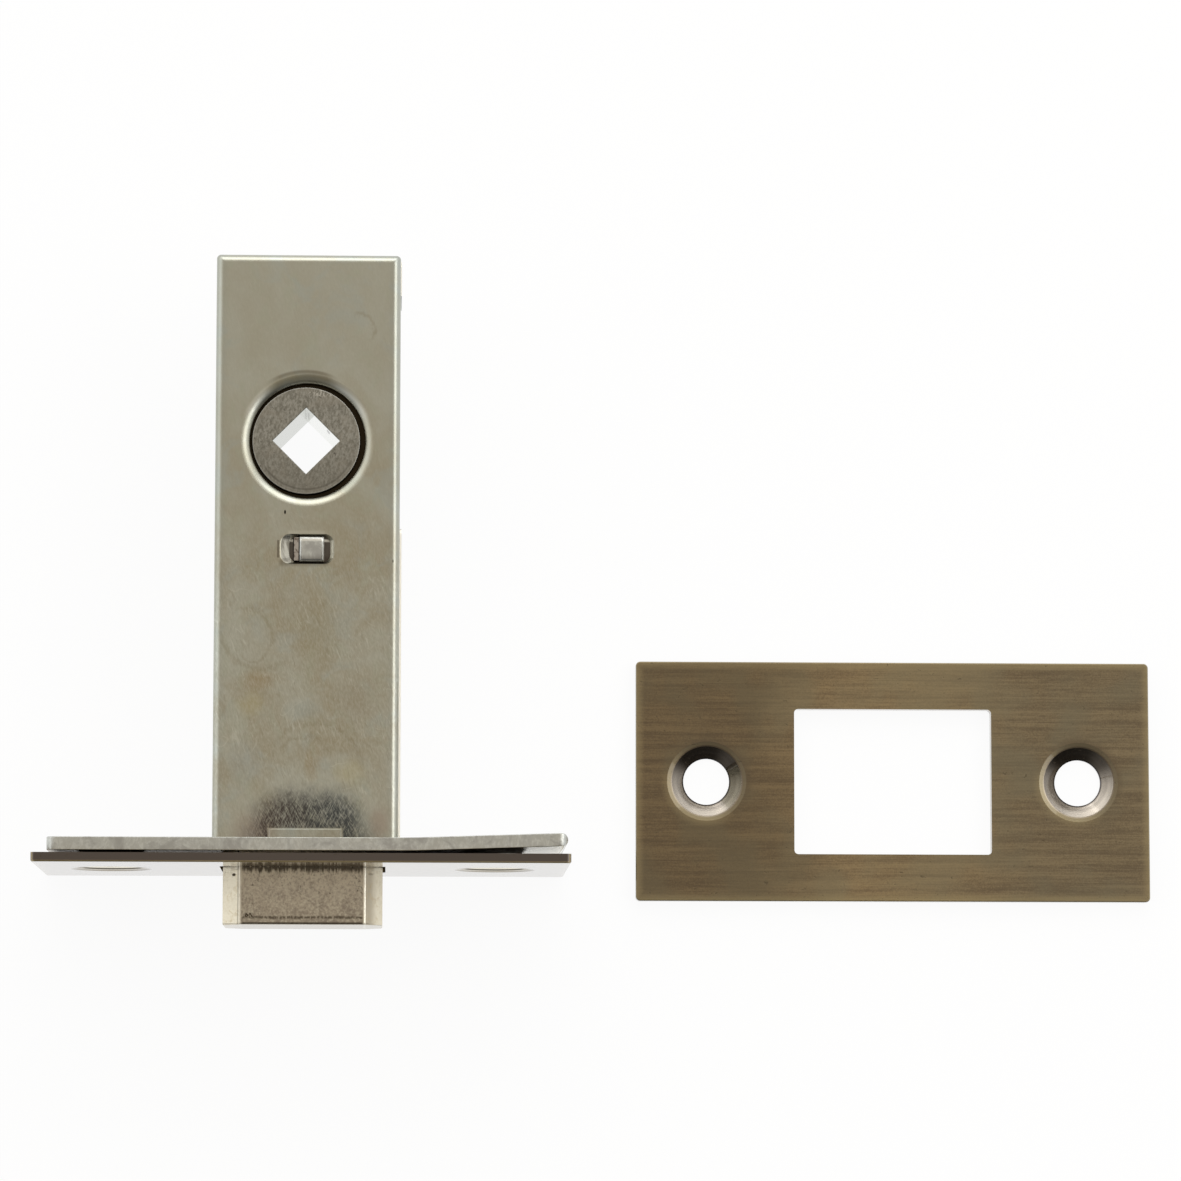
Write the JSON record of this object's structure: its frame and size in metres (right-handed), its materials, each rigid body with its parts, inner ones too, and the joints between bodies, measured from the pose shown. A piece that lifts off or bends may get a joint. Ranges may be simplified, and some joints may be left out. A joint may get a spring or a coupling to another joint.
{
  "type": "tubular mortice deadbolt",
  "caption": "Slim sheet-metal case with forend, square-drive follower and sliding bolt, with its separate flat strike plate.",
  "frame": {"origin": "centre of the outer forend's front face, midway between its two screw holes", "axes": "+X along the forend, +Y back into the door towards the tail of the case, +Z along the spindle"},
  "size_m": [0.122, 0.0724, 0.0264],
  "materials": {
    "plated_case": "nickel plated sheet, cloudy",
    "zinc_plate": "dull zinc with rough cut edges",
    "antique_plate": "antique brass, brushed along its length",
    "bolt_metal": "cast, antique plated and pitted",
    "follower_metal": "dull grey casting with a turned face",
    "spring_steel": "bright strip"
  },
  "bodies": {
    "root": {"case_shell": "plated_case", "case_cover": "plated_case", "inner_forend": "zinc_plate", "outer_forend": "antique_plate", "strike_plate": "antique_plate", "guide_post": "zinc_plate", "detent_spring": "spring_steel"},
    "bolt": {"bolt_head": "bolt_metal", "upper_tail_plate": "zinc_plate", "lower_tail_plate": "zinc_plate", "tail_rivets": "zinc_plate"},
    "follower": {"follower": "follower_metal", "drive_pin": "spring_steel"}
  },
  "joints": [
    {"name": "follower_turn", "type": "hinge", "parent": "root", "child": "follower", "pos_m": [0.00008, 0.0459, 0], "axis": [0, 0, -1], "range_deg": [-45, 45]},
    {"name": "bolt_slide", "type": "slide", "parent": "root", "child": "bolt", "axis": [0, -1, 0], "range_m": [-0.00551, 0.00551]}
  ],
  "couplings": [
    {"joint": "follower_turn", "follows": "bolt_slide", "rad_per_m": 142.4}
  ]
}
